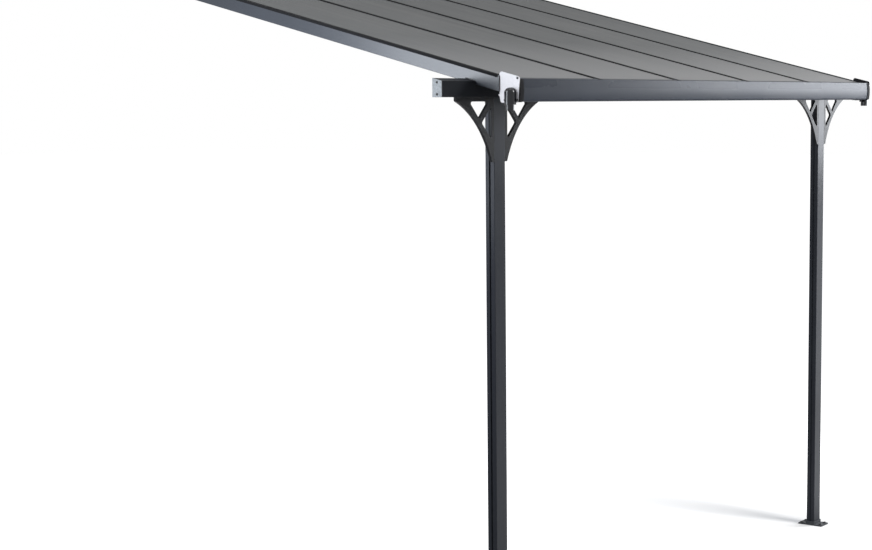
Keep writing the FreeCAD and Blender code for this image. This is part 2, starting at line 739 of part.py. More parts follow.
# An aluminium plate closes each end of the gutter and the front corner of the
# roof, with a window for the outlet.
def make_end_plate(side_name, side):
    body = new_body(f"gutter_end_plate_{side_name}", plate_inner * side, lip_y, gutter_base)
    front, back = -S["plate_front"], S["gutter_depth"] + S["plate_back"]
    base = -S["plate_drop"]
    top = S["gutter_front"] - S["eave_setback"] * FALL + S["plate_rise"] / RUN
    tab_low = S["plate_tab_up"]
    tab_high = tab_low + S["plate_tab_height"]
    outline = new_sketch(body, "plate_outline", "YZ_Plane")
    draw_loop(outline, [
        (front + S["plate_taper_front"], base),
        (back - S["plate_taper_back"], base),
        (back, tab_low),
        (back + S["plate_tab"], tab_high),
        (back, tab_high),
        (back, top + back * FALL),
        (front, top + front * FALL),
    ])
    draw_loop(outline, rectangle(S["head_middle"] - S["outlet_half"], S["outlet_sill"],
                                 S["head_middle"] + S["outlet_half"], S["outlet_top"]))
    pad(body, outline, S["plate_thickness"], backwards=side < 0)
    low, high = base.value + HAIR, (top + front * FALL).value - HAIR
    round_edges(body, "plate_corners", S["plate_round"], lambda edge: runs_along(edge, X_AXIS)
                and not low < edge.CenterOfMass.z < high)


# The outlet head is a domed moulding on the end plate: water comes in by its
# back and leaves down a spigot that a downpipe fits over.
def make_outlet_head(side_name, side):
    place_y = lip_y + S["head_middle"]
    body = new_body(f"gutter_head_{side_name}", plate_outer * side, place_y, gutter_base)
    half, out = S["head_half"], S["head_straight"]
    wall, base = S["head_wall"], -S["head_base"]
    gap = S["seat_gap"] * side
    height = S["head_rise"] + S["head_base"]
    shell = new_sketch(body, "head_round", "XY_Plane", base)
    draw_circle(shell, out * side, 0, half)
    pad(body, shell, height)
    neck = new_sketch(body, "head_neck", "XY_Plane", base)
    draw_loop(neck, rectangle(gap, -half, out * side, half))
    pad(body, neck, height)
    behind = new_sketch(body, "head_flat_back", "XY_Plane", base - MARGIN)
    draw_loop(behind, rectangle(gap, -half - MARGIN, gap - half * side, half + MARGIN))
    pocket(body, behind, height + MARGIN * 2, backwards=True)
    top = S["head_rise"].value
    round_edges(body, "head_dome", S["head_dome"], lambda edge: abs(edge.CenterOfMass.z - top) < HAIR
                and edge.CenterOfMass.x * side > gap.value * side + HAIR)
    spigot = new_sketch(body, "head_spigot", "XY_Plane", base)
    draw_circle(spigot, out * side, 0, S["spigot_radius"])
    pad(body, spigot, S["spigot_length"], backwards=True)
    foot = base - S["spigot_length"] - MARGIN
    bore = new_sketch(body, "head_bore", "XY_Plane", foot)
    draw_circle(bore, out * side, 0, S["spigot_radius"] - wall)
    pocket(body, bore, S["outlet_top"] - foot, backwards=True)
    inlet = new_sketch(body, "head_inlet", "YZ_Plane", gap)
    draw_loop(inlet, rectangle(wall - S["outlet_half"], S["outlet_sill"] + wall,
                               S["outlet_half"] - wall, S["outlet_top"] - wall))
    pocket(body, inlet, out, backwards=side > 0)


# The beam's section, that far inside its outer faces: its top slopes with the
# roof, so that the rafters lie flat on it.
def beam_section(inside):
    near, far = as_size(inside), S["beam_depth"] - inside
    top = S["beam_height"] - near / RUN
    return [(near, near), (far, near), (far, top + far * FALL), (near, top + near * FALL)]


# The front beam is a closed section that lies level under all the rafters.
def make_front_beam():
    body = new_body("front_beam", 0, beam_front_y, beam_base)
    profile = new_sketch(body, "beam_profile", "YZ_Plane")
    draw_loop(profile, beam_section(0))
    draw_loop(profile, beam_section(S["beam_wall"]))
    pad(body, profile, beam_half * 2, both_ways=True)


def make_beam_cap(side_name, side):
    body = new_body(f"beam_end_cap_{side_name}", (beam_half + S["seat_gap"]) * side, beam_front_y, beam_base)
    outline = new_sketch(body, "cap_outline", "YZ_Plane")
    draw_loop(outline, beam_section(0))
    pad(body, outline, S["beam_cap"] - S["seat_gap"], backwards=side < 0)


# A thin saddle lies between the beam and each rafter, and hooks over the beam's
# top edges.
def make_saddle(number):
    half = S["saddle_half"]
    x = panel_pitch * number - half_roof
    if number == 0:
        x = half - half_roof
    if number == int(S["panel_count"].value):
        x = half_roof - half
    body = new_body(f"rafter_saddle_{number + 1}", x, beam_front_y, beam_top + S["seat_gap"])
    depth, lip, gap = S["beam_depth"], S["saddle_lip_wall"], S["seat_gap"]
    drop, top = S["saddle_lip"], S["saddle_thickness"]
    front, back = -gap, depth + gap
    profile = new_sketch(body, "saddle_profile", "YZ_Plane")
    draw_loop(profile, [
        (front, front * FALL),
        (back, back * FALL),
        (back, back * FALL - drop),
        (back + lip, back * FALL - drop),
        (back + lip, top + (back + lip) * FALL),
        (front - lip, top + (front - lip) * FALL),
        (front - lip, front * FALL - drop),
        (front, front * FALL - drop),
    ])
    pad(body, profile, half * 2, both_ways=True)


# A post is a box section with a screw slot down the middle of each side.
def make_post(side_name, side):
    body = new_body(f"post_{side_name}", post_x * side, post_y, foot_top + S["seat_gap"])
    wide, deep = S["post_width"] / 2, S["post_depth"] / 2
    slot, into, wall = S["slot_half"], S["slot_depth"], S["post_wall"]
    profile = new_sketch(body, "post_profile", "XY_Plane")
    quarter_out = [(wide, deep), (wide, slot), (wide - into, slot)]
    quarter_in = [(wide - wall, deep - wall), (wide - wall, slot + wall),
                  (wide - into - wall, slot + wall)]
    for quarter in (quarter_out, quarter_in):
        right = quarter + [(across, -along) for across, along in reversed(quarter)]
        left = [(-across, along) for across, along in reversed(right)]
        draw_loop(profile, right + left)
    pad(body, profile, post_height)
    corner = (wide.value, deep.value)
    round_edges(body, "post_corners", S["post_round"], lambda edge: runs_along(edge, Z_AXIS)
                and abs(abs(edge.CenterOfMass.x) - corner[0]) < HAIR
                and abs(abs(edge.CenterOfMass.y) - corner[1]) < HAIR)


# A foot is a bolted plate with a low skirt that the post stands in.
def make_foot(side_name, side):
    body = new_body(f"foot_{side_name}", post_x * side, post_y, ground_z)
    wide, long = S["foot_width"] / 2, S["foot_length"] / 2
    plate = new_sketch(body, "foot_plate", "XY_Plane")
    draw_loop(plate, rectangle(-wide, -long, wide, long))
    pad(body, plate, S["foot_thickness"])
    round_edges(body, "foot_corners", S["foot_round"], lambda edge: runs_along(edge, Z_AXIS))
    inner_x = S["post_width"] / 2 + S["skirt_play"]
    inner_y = S["post_depth"] / 2 + S["skirt_play"]
    wall = S["skirt_wall"]
    skirt = new_sketch(body, "foot_skirt", "XY_Plane", S["foot_thickness"])
    draw_loop(skirt, rectangle(-inner_x - wall, -inner_y - wall, inner_x + wall, inner_y + wall))
    draw_loop(skirt, rectangle(-inner_x, -inner_y, inner_x, inner_y))
    pad(body, skirt, S["skirt_height"])
    holes = new_sketch(body, "foot_bolt_holes", "XY_Plane")
    for across in (-1, 1):
        for along in (-1, 1):
            draw_circle(holes, S["foot_bolt_x"] * across, S["foot_bolt_y"] * along,
                        S["foot_bolt_radius"])
    pocket(body, holes, S["foot_thickness"] + MARGIN, backwards=True)


# A corner bracket ties a post to the beam: two legs, a concave edge and a
# strut from the inner corner, with an opening each side of the strut.
def make_bracket(post_name, post_side, name, direction):
    reach, leg, tip = S["bracket_reach"], S["bracket_leg"], S["bracket_tip"]
    gap = S["seat_gap"]
    place_x = post_x * post_side + (S["post_width"] / 2 + gap) * direction
    body = new_body(f"bracket_{post_name}_{name}", place_x, beam_front_y, beam_base - gap)
    outline = new_sketch(body, "bracket_outline", "XZ_Plane")
    draw_loop(outline, [
        (0, 0),
        (reach * direction, 0),
        (reach * direction, -tip, S["bracket_arc"], direction),
        (tip * direction, -reach),
        (0, -reach),
    ])
    strut, chord = S["bracket_strut"], S["bracket_chord"]
    apex_far = (chord + strut) / 2
    apex_near = (chord - strut) / 2
    draw_loop(outline, [
        ((leg + strut) * direction, -leg),
        ((chord - leg) * direction, -leg),
        (apex_far * direction, -apex_near),
    ])
    draw_loop(outline, [
        (leg * direction, -leg - strut),
        (apex_near * direction, -apex_far),
        (leg * direction, leg - chord),
    ])
    pad(body, outline, S["bracket_thickness"], backwards=True)
    outer = reach.value - HAIR
    inner = leg.value - HAIR

    def in_opening(edge):
        across, down = abs(edge.CenterOfMass.x), abs(edge.CenterOfMass.z)
        return runs_along(edge, Y_AXIS) and inner < across < outer and inner < down < outer

    def at_tip(edge):
        across, down = abs(edge.CenterOfMass.x), abs(edge.CenterOfMass.z)
        low = tip.value - HAIR
        return runs_along(edge, Y_AXIS) and max(across, down) > outer and min(across, down) > low

    round_edges(body, "opening_corners", S["bracket_round"], in_opening)
    round_edges(body, "tip_corners", S["tip_round"], at_tip)


make_wall_rail()
make_header_rail()
make_gutter()
make_front_beam()
for number in range(1, int(S["panel_count"].value)):
    make_rafter(number)
for number in range(1, int(S["panel_count"].value) + 1):
    make_roof_panel(number)
    make_edge_trim(number)
for number in range(int(S["panel_count"].value) + 1):
    make_saddle(number)
for side_name, side in SIDES:
    make_wall_rail_cap(side_name, side)
    make_side_rafter(side_name, side)
    make_gutter_seal(side_name, side)
    make_end_plate(side_name, side)
    make_outlet_head(side_name, side)
    make_beam_cap(side_name, side)
    make_post(side_name, side)
    make_foot(side_name, side)
    make_bracket(side_name, side, "outer", side)
    make_bracket(side_name, side, "inner", -side)

doc.recompute()
for item in doc.Objects:
    if "Invalid" in item.State or "Error" in item.State:
        raise RuntimeError(f"{item.Name} failed: {item.State}")
for body in finished:
    if body.Shape.isNull() or not body.Shape.isValid() or len(body.Shape.Solids) != 1:
        raise RuntimeError(f"{body.Label} is not one valid solid")

os.makedirs("parts", exist_ok=True)
for body in finished:
    body.Shape.exportStep(f"parts/{body.Label}.step")
print(len(finished), "pieces; ground at", round(ground_z.value, 1), "beam underside at",
      round(beam_base.value - ground_z.value, 1), "post", round(post_height.value, 1))
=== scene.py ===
import math

import bmesh
import bpy
from mathutils import Matrix, Vector


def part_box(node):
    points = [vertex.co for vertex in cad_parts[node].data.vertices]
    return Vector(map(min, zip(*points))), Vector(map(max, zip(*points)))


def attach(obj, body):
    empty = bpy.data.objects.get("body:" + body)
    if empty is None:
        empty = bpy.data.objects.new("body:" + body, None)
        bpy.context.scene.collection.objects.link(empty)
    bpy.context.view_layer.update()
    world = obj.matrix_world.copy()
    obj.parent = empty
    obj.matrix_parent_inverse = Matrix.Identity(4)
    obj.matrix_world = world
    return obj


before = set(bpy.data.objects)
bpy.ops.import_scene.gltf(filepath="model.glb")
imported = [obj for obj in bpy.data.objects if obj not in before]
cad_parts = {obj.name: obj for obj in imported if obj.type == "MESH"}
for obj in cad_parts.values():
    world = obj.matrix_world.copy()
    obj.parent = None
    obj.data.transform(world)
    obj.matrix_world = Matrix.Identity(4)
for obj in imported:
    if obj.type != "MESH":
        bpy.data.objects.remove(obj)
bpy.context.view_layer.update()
scene = bpy.context.scene


# Wall rail
# One aluminium extrusion under a dark grey powder coat. Eight hexagon bolts hold its
# flange to the wall, and the roof hangs in the socket below its rain hood.

def feed(tree, socket, value):
    """Link an output to the socket, or set the socket to a plain value."""
    if isinstance(value, bpy.types.NodeSocket):
        tree.links.new(value, socket)
    else:
        socket.default_value = value


def shader_node(tree, kind, inputs, **settings):
    """A shader node with its settings made and its inputs fed."""
    node = tree.nodes.new(f"ShaderNode{kind}")
    for name, value in settings.items():
        setattr(node, name, value)
    for name, value in inputs.items():
        feed(tree, node.inputs[name], value)
    return node


def figure(tree, operation, *values):
    """One step of arithmetic on the surface's masks."""
    node = shader_node(tree, "Math", dict(enumerate(values)), operation=operation)
    return node.outputs[0]


def tint(tree, amount, under, over):
    """The colour under, covered by the colour over as far as the mask says."""
    node = shader_node(tree, "Mix", {0: amount, 6: under, 7: over}, data_type="RGBA")
    return node.outputs[2]


def spread(tree, value, low, high, to_low, to_high):
    """A mask stretched from one range to another and kept inside it."""
    node = shader_node(tree, "MapRange", {"Value": value, "From Min": low, "From Max": high,
                                          "To Min": to_low, "To Max": to_high})
    return node.outputs[0]


def effect_group(name, inputs, outputs):
    """An empty node group with named inputs and outputs."""
    group = bpy.data.node_groups.new(name, "ShaderNodeTree")
    for label, kind, value in inputs:
        socket = group.interface.new_socket(label, in_out="INPUT", socket_type=f"NodeSocket{kind}")
        socket.default_value = value
    for label, kind in outputs:
        group.interface.new_socket(label, in_out="OUTPUT", socket_type=f"NodeSocket{kind}")
    inlet = group.nodes.new("NodeGroupInput").outputs
    outlet = group.nodes.new("NodeGroupOutput").inputs
    return group, inlet, outlet


def placed_group(tree, group, inputs):
    """The group placed in a material with that material's own values."""
    node = tree.nodes.new("ShaderNodeGroup")
    node.node_tree = group
    for name, value in inputs.items():
        feed(tree, node.inputs[name], value)
    return node.outputs


def coat_grain_group():
    """Powder coat up close: orange peel, the die lines under it and fine specks."""
    group, inlet, outlet = effect_group("coat_grain", [
        ("Place", "Vector", (0, 0, 0)),
        ("Die Stretch", "Vector", (1, 1, 1)),
        ("Peel Scale", "Float", 420.0),
    ], [("Height", "Float"), ("Speck", "Float"), ("Cloud", "Float")])
    peel = shader_node(group, "TexNoise", {"Vector": inlet["Place"], "Scale": inlet["Peel Scale"],
                                           "Detail": 2.0, "Roughness": 0.55})
    across = shader_node(group, "VectorMath", {0: inlet["Place"], 1: inlet["Die Stretch"]},
                         operation="MULTIPLY")
    lines = shader_node(group, "TexNoise", {"Vector": across.outputs[0], "Scale": 1.0,
                                            "Detail": 3.0, "Roughness": 0.6})
    height = figure(group, "MULTIPLY_ADD", lines.outputs[0], 0.35, peel.outputs[0])
    speck = shader_node(group, "TexNoise", {"Vector": inlet["Place"], "Scale": 1900.0, "Detail": 1.0})
    cloud = shader_node(group, "TexNoise", {"Vector": inlet["Place"], "Scale": 2.3, "Detail": 4.0})
    feed(group, outlet["Height"], height)
    feed(group, outlet["Speck"], spread(group, speck.outputs[0], 0.56, 0.74, 0.0, 1.0))
    feed(group, outlet["Cloud"], spread(group, cloud.outputs[0], 0.3, 0.7, 0.0, 1.0))
    return group


def edge_rub_group():
    """Where edges are handled and rubbed: a broken mask beside each sharp edge."""
    group, inlet, outlet = effect_group("edge_rub", [
        ("Place", "Vector", (0, 0, 0)),
        ("Width", "Float", 0.002),
        ("Breakup Scale", "Float", 38.0),
    ], [("Mask", "Float"), ("Rounded Normal", "Vector")])
    soft = shader_node(group, "Bevel", {"Radius": inlet["Width"]}, samples=6)
    flat = shader_node(group, "NewGeometry", {})
    along = shader_node(group, "VectorMath", {0: soft.outputs[0], 1: flat.outputs["True Normal"]},
                        operation="DOT_PRODUCT")
    bend = spread(group, along.outputs["Value"], 0.995, 0.86, 0.0, 1.0)
    broken = shader_node(group, "TexNoise", {"Vector": inlet["Place"], "Scale": inlet["Breakup Scale"],
                                             "Detail": 5.0, "Roughness": 0.7})
    patches = spread(group, broken.outputs[0], 0.42, 0.62, 0.15, 1.0)
    feed(group, outlet["Mask"], figure(group, "MULTIPLY", bend, patches))
    feed(group, outlet["Rounded Normal"], soft.outputs[0])
    return group


def rain_film_group():
    """Dry rain film and dust: it gathers on faces that look up, in soft patches."""
    group, inlet, outlet = effect_group("rain_film", [
        ("Place", "Vector", (0, 0, 0)),
        ("Amount", "Float", 0.3),
        ("Patch Scale", "Float", 6.0),
    ], [("Mask", "Float")])
    flat = shader_node(group, "NewGeometry", {})
    parts = shader_node(group, "SeparateXYZ", {0: flat.outputs["Normal"]})
    upward = spread(group, parts.outputs["Z"], 0.1, 1.0, 0.12, 1.0)
    patches = shader_node(group, "TexNoise", {"Vector": inlet["Place"], "Scale": inlet["Patch Scale"],
                                              "Detail": 6.0, "Roughness": 0.62})
    soft = spread(group, patches.outputs[0], 0.35, 0.7, 0.0, 1.0)
    feed(group, outlet["Mask"], figure(group, "MULTIPLY", figure(group, "MULTIPLY", upward, soft),
                                       inlet["Amount"]))
    return group


coat_grain = coat_grain_group()
edge_rub = edge_rub_group()
rain_film = rain_film_group()
COAT_SPECK = (0.08, 0.09, 0.10, 1)
WORN_COAT = (0.13, 0.14, 0.15, 1)
COAT_DUST = (0.22, 0.22, 0.21, 1)
DRIP_DULLING = 0.28
LACQUER_ROUGHNESS = 0.3


def new_finish(name):
    """A material with its Principled shader and the piece's own coordinates."""
    finish = bpy.data.materials.new(name)
    finish.use_nodes = True
    tree = finish.node_tree
    shader = tree.nodes["Principled BSDF"]
    place = shader_node(tree, "TexCoord", {}).outputs["Object"]
    return finish, tree, shader, place


def powder_coat(name, dark, light, die_stretch, turn=0.0, roughness=0.36, specular=0.05,
                lacquer=0.0, drip_edge=None):
    """Dark grey powder coat on an extrusion; drips dull it between the two drip edge heights."""
    finish, tree, shader, place = new_finish(name)
    turned = shader_node(tree, "Mapping", {"Vector": place, "Rotation": (turn, 0, 0)}).outputs[0]
    grain = placed_group(tree, coat_grain, {"Place": turned, "Die Stretch": die_stretch})
    rub = placed_group(tree, edge_rub, {"Place": place, "Width": 0.0016})
    film = placed_group(tree, rain_film, {"Place": place, "Amount": 0.1})
    mottled = tint(tree, grain["Cloud"], (*dark, 1), (*light, 1))
    specked = tint(tree, figure(tree, "MULTIPLY", grain["Speck"], 0.3), mottled, COAT_SPECK)
    worn = tint(tree, figure(tree, "MULTIPLY", rub["Mask"], 0.3), specked, WORN_COAT)
    dusty = tint(tree, film["Mask"], worn, COAT_DUST)
    gloss = figure(tree, "MULTIPLY_ADD", grain["Cloud"], 0.05, roughness)
    dulled = figure(tree, "MULTIPLY_ADD", film["Mask"], 0.6, gloss)
    if drip_edge:
        height = shader_node(tree, "SeparateXYZ", {0: place}).outputs["Z"]
        dulled = figure(tree, "ADD", dulled, spread(tree, height, *drip_edge, 0.0, DRIP_DULLING))
    relief = shader_node(tree, "Bump", {"Strength": 0.16, "Distance": 0.0004,
                                        "Height": grain["Height"], "Normal": rub["Rounded Normal"]})
    feed(tree, shader.inputs["Base Color"], dusty)
    feed(tree, shader.inputs["Roughness"], dulled)
    feed(tree, shader.inputs["Normal"], relief.outputs[0])
    shader.inputs["Specular IOR Level"].default_value = specular
    shader.inputs["Coat Weight"].default_value = lacquer
    shader.inputs["Coat Roughness"].default_value = LACQUER_ROUGHNESS
    return finish


def dress(finish, *nodes):
    """Give carried-over CAD pieces their finish."""
    for node in nodes:
        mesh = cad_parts[node].data
        mesh.materials.clear()
        mesh.materials.append(finish)


FINE_ACROSS = 520.0
ALONG_PROFILE = 0.8
ALONG_WALL = (ALONG_PROFILE, FINE_ACROSS, FINE_ACROSS)
DARK_COAT = (0.028, 0.032, 0.040)
LIGHT_COAT = (0.036, 0.041, 0.050)
rail_coat = powder_coat("rail_coat", DARK_COAT, LIGHT_COAT, ALONG_WALL)
dress(rail_coat, "wall_rail")


SIXTH_TURN = math.pi / 3
SHARP_EDGE = math.radians(35)


def ring_of(outline, turns, hexagon=None):
    """A turned piece as rings of points; the rings numbered in hexagon have six sides."""
    rings = []
    for number, (radius, height) in enumerate(outline):
        ring = []
        for step in range(turns):
            angle = 2 * math.pi * step / turns
            reach = radius
            if hexagon and number in hexagon:
                from_flat = angle % SIXTH_TURN - SIXTH_TURN / 2
                reach = radius * math.cos(SIXTH_TURN / 2) / math.cos(from_flat)
            ring.append(Vector((reach * math.cos(angle), reach * math.sin(angle), height)))
        rings.append(ring)
    return rings


def turned_heads(name, outline, places, looks, finish, turns=24, hexagon=None):
    """The same small turned piece at several places, as one mesh facing one way."""
    form = bmesh.new()
    lean = Vector((0, 0, 1)).rotation_difference(Vector(looks)).to_matrix()
    for place in places:
        rings = [[form.verts.new(Vector(place) + lean @ point) for point in ring]
                 for ring in ring_of(outline, turns, hexagon)]
        for lower, upper in zip(rings, rings[1:]):
            for step in range(turns):
                after = (step + 1) % turns
                form.faces.new((lower[step], lower[after], upper[after], upper[step]))
        form.faces.new(list(reversed(rings[0])))
        form.faces.new(rings[-1])
    return finished_piece(name, form, finish)


def finished_piece(name, form, finish):
    """Turn the form into a piece of the cover that rides on its one body."""
    bmesh.ops.recalc_face_normals(form, faces=form.faces)
    mesh = bpy.data.meshes.new(name)
    form.to_mesh(mesh)
    form.free()
    mesh.materials.append(finish)
    mesh.set_sharp_from_angle(angle=SHARP_EDGE)
    for face in mesh.polygons:
        face.use_smooth = True
    piece = bpy.data.objects.new(name, mesh)
    scene.collection.objects.link(piece)
    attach(piece, "root")
    return piece


def shade_of(colour, times):
    """The same hue, so many times as light."""
    return tuple(times * part for part in colour) + (1,)


def plated_steel(name, colour, roughness, worn_colour=(0.42, 0.42, 0.41), metallic=0.85):
    """Small steel fixings: plated, faintly mottled and rubbed along their edges."""
    finish, tree, shader, place = new_finish(name)
    grain = placed_group(tree, coat_grain, {"Place": place, "Die Stretch": (900, 900, 90)})
    rub = placed_group(tree, edge_rub, {"Place": place, "Width": 0.0006, "Breakup Scale": 300.0})
    mottled = tint(tree, grain["Cloud"], (*colour, 1), shade_of(colour, 1.35))
    worn = tint(tree, figure(tree, "MULTIPLY", rub["Mask"], 0.5), mottled, (*worn_colour, 1))
    relief = shader_node(tree, "Bump", {"Strength": 0.2, "Distance": 0.0001, "Height": grain["Height"],
                                        "Normal": rub["Rounded Normal"]})
    feed(tree, shader.inputs["Base Color"], worn)
    feed(tree, shader.inputs["Roughness"], figure(tree, "MULTIPLY_ADD", grain["Speck"], 0.15, roughness))
    feed(tree, shader.inputs["Normal"], relief.outputs[0])
    shader.inputs["Metallic"].default_value = metallic
    return finish


bolt_steel = plated_steel("bolt_steel", (0.3, 0.3, 0.3), 0.38)
OUTER_BOLT = 1.400
BOLT_COLUMNS = (-OUTER_BOLT, -OUTER_BOLT / 3, OUTER_BOLT / 3, OUTER_BOLT)
BOLT_ROWS = (0.030, -0.040)
FLANGE_FACE = -0.003
hex_bolt = [(0.0085, 0), (0.0085, 0.0012), (0.0072, 0.0016), (0.0072, 0.0062), (0.0060, 0.0070)]
turned_heads("wall_rail_bolts", hex_bolt,
             [(x, FLANGE_FACE, z) for x in BOLT_COLUMNS for z in BOLT_ROWS],
             (0, -1, 0), bolt_steel, hexagon=(2, 3, 4))


# Wall rail caps
# A moulded black cap closes each end of the rail. It is a plain polymer moulding with a
# fine spark texture, pushed in place.

WORN_MOULDING = (0.12, 0.12, 0.125, 1)
MOULDING_DUST = (0.28, 0.28, 0.27, 1)


def moulding(name, dark, light, roughness, texture_scale=700.0, depth=0.3, specular=0.45):
    """Moulded black polymer: an even spark texture and slightly paler edges."""
    finish, tree, shader, place = new_finish(name)
    grain = placed_group(tree, coat_grain, {"Place": place, "Die Stretch": (30, 30, 30),
                                            "Peel Scale": texture_scale})
    rub = placed_group(tree, edge_rub, {"Place": place, "Width": 0.0012, "Breakup Scale": 70.0})
    film = placed_group(tree, rain_film, {"Place": place, "Amount": 0.12, "Patch Scale": 30.0})
    mottled = tint(tree, grain["Cloud"], (*dark, 1), (*light, 1))
    worn = tint(tree, figure(tree, "MULTIPLY", rub["Mask"], 0.25), mottled, WORN_MOULDING)
    dusty = tint(tree, film["Mask"], worn, MOULDING_DUST)
    relief = shader_node(tree, "Bump", {"Strength": depth, "Distance": 0.0002,
                                        "Height": grain["Height"], "Normal": rub["Rounded Normal"]})
    feed(tree, shader.inputs["Base Color"], dusty)
    feed(tree, shader.inputs["Roughness"], figure(tree, "MULTIPLY_ADD", grain["Speck"], 0.12, roughness))
    feed(tree, shader.inputs["Normal"], relief.outputs[0])
    shader.inputs["Specular IOR Level"].default_value = specular
    return finish


cap_moulding = moulding("cap_moulding", (0.018, 0.018, 0.020), (0.026, 0.026, 0.029), 0.55)
dress(cap_moulding, "wall_rail_cap_left", "wall_rail_cap_right")


# Header rail
# The upper ends of the sheets and rafters sit in this extrusion, which hooks into the
# wall rail by the round bead along its back.

header_coat = powder_coat("header_coat", DARK_COAT, LIGHT_COAT, ALONG_WALL)
dress(header_coat, "header_rail")


# Rafters
# Four middle and two side rafters, powder-coated extrusions notched over the front beam,
# run down the slope. Their ledges carry the sheets and their covers close the joints.

ROOF_SLOPE = math.radians(14.6)
MIDDLE_RAFTERS = [f"rafter_{number}" for number in range(1, 5)]
UP_THE_SLOPE = (FINE_ACROSS, ALONG_PROFILE, FINE_ACROSS)
rafter_coat = powder_coat("rafter_coat", DARK_COAT, LIGHT_COAT, UP_THE_SLOPE, turn=-ROOF_SLOPE)
side_coat = powder_coat("side_coat", (0.014, 0.017, 0.023), (0.019, 0.023, 0.031), UP_THE_SLOPE,
                        turn=-ROOF_SLOPE, roughness=0.40, lacquer=0.85)
dress(rafter_coat, *MIDDLE_RAFTERS)
dress(side_coat, "side_rafter_left", "side_rafter_right")


# Joint strips
# A black rubber strip is pressed over each cover strip and wipes the sheets on both sides
# with a thin lip, so that the joints show as dark lines up the roof.

RUBBER_DUST = (0.16, 0.16, 0.155, 1)


def rubber(name, shade):
    """Black weather rubber: dull, fine-grained and grey with dust where it looks up."""
    finish, tree, shader, place = new_finish(name)
    grain = placed_group(tree, coat_grain, {"Place": place, "Die Stretch": (240, 240, 240),
                                            "Peel Scale": 900.0})
    film = placed_group(tree, rain_film, {"Place": place, "Amount": 0.07, "Patch Scale": 14.0})
    plain = tint(tree, grain["Cloud"], (shade, shade, shade * 1.1, 1),
                 (1.6 * shade, 1.6 * shade, 1.75 * shade, 1))
    dusty = tint(tree, film["Mask"], plain, RUBBER_DUST)
    relief = shader_node(tree, "Bump", {"Strength": 0.35, "Distance": 0.0002, "Height": grain["Height"]})
    feed(tree, shader.inputs["Base Color"], dusty)
    feed(tree, shader.inputs["Roughness"], figure(tree, "MULTIPLY_ADD", grain["Speck"], 0.1, 0.72))
    feed(tree, shader.inputs["Normal"], relief.outputs[0])
    shader.inputs["Specular IOR Level"].default_value = 0.04
    return finish


def drawn_along(name, outline, start, end, tilt, finish):
    """An outline of (across, up) points drawn along its own y axis and tilted with the roof."""
    form = bmesh.new()
    ends = []
    for distance in (start, end):
        ends.append([form.verts.new(tilt @ Vector((across, distance, up))) for across, up in outline])
    count = len(outline)
    for step in range(count):
        after = (step + 1) % count
        form.faces.new((ends[0][step], ends[0][after], ends[1][after], ends[1][step]))
    form.faces.new(ends[0])
    form.faces.new(list(reversed(ends[1])))
    return finished_piece(name, form, finish)


SIDES = (("left", -1), ("right", 1))
LIP_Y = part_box("gutter")[0].y
LIP_TO_SHEETS = 0.035
EAVE_Y = LIP_Y + LIP_TO_SHEETS
EAVE_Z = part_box("gutter")[1].z
RAFTER_DEPTH = 0.054
on_roof = Matrix.Translation((0, EAVE_Y, EAVE_Z)) @ Matrix.Rotation(ROOF_SLOPE, 4, "X")
rafter_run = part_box("rafter_1")[1].y - EAVE_Y - RAFTER_DEPTH * math.sin(ROOF_SLOPE)
rafter_top_end = rafter_run / math.cos(ROOF_SLOPE)
joint_rubber = rubber("joint_rubber", 0.006)
COVER_HALF = 0.012
STRIP_THICKNESS = 0.0012
ARCH_STEPS = 8
ARCH_FALL = 0.45
COVER_ABOVE_SHEET = 0.0023
WIPER_WIDTH = 0.0022


def joint_strip_outline(left, right):
    """The strip's section: a low arch over the cover with a lip down to each sheet."""
    middle, half = (left + right) / 2, (right - left) / 2
    arch = []
    for step in range(ARCH_STEPS + 1):
        share = 2 * step / ARCH_STEPS - 1
        arch.append((middle + half * share, STRIP_THICKNESS * (1.0 - ARCH_FALL * share * share)))
    sheet = -COVER_ABOVE_SHEET
    low_right = [(right + WIPER_WIDTH, sheet), (right, sheet), (right, 0.0)]
    low_left = [(left, 0.0), (left, sheet), (left - WIPER_WIDTH, sheet)]
    return arch + low_right + low_left


for number, node in enumerate(MIDDLE_RAFTERS, start=1):
    low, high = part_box(node)
    middle = (low.x + high.x) / 2
    drawn_along(f"joint_strip_{number}", joint_strip_outline(middle - COVER_HALF, middle + COVER_HALF),
                0.0, rafter_top_end, on_roof, joint_rubber)

SIDE_COVER = 0.024
EDGE_ROUND = 0.0015
EDGE_DROP = 0.0085
PLATE_BACK = 0.054
for name, side in SIDES:
    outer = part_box("side_rafter_left")[0].x * -side
    inner = outer - SIDE_COVER * side
    outside = outer + STRIP_THICKNESS * side
    section = [(inner, 0.0), (inner, STRIP_THICKNESS), (outside - EDGE_ROUND * side, STRIP_THICKNESS),
               (outside, STRIP_THICKNESS - EDGE_ROUND), (outside, -EDGE_DROP), (outer, -EDGE_DROP),
               (outer, -EDGE_ROUND), (outer - EDGE_ROUND * side, 0.0)]
    drawn_along(f"edge_strip_{name}", section, PLATE_BACK, rafter_top_end, on_roof,
                joint_rubber)


# Roof sheets
# Five grey twin-wall polycarbonate sheets, ten millimetres thick. Their inner webs show
# through the skin as fine lines that run down the slope.

SHEET_NAMES = [f"roof_panel_{number}" for number in range(1, 6)]
WEB_PITCH = 0.0105
WEB_SHADOW = (0.07, 0.072, 0.075, 1)
STREAK_DUST = (0.24, 0.235, 0.225, 1)
EAVE_SILT = (0.27, 0.268, 0.268, 1)
SHEET_DUST = (0.3, 0.295, 0.285, 1)
SILT_REACH = 0.7
SILT_SHARE = 0.65


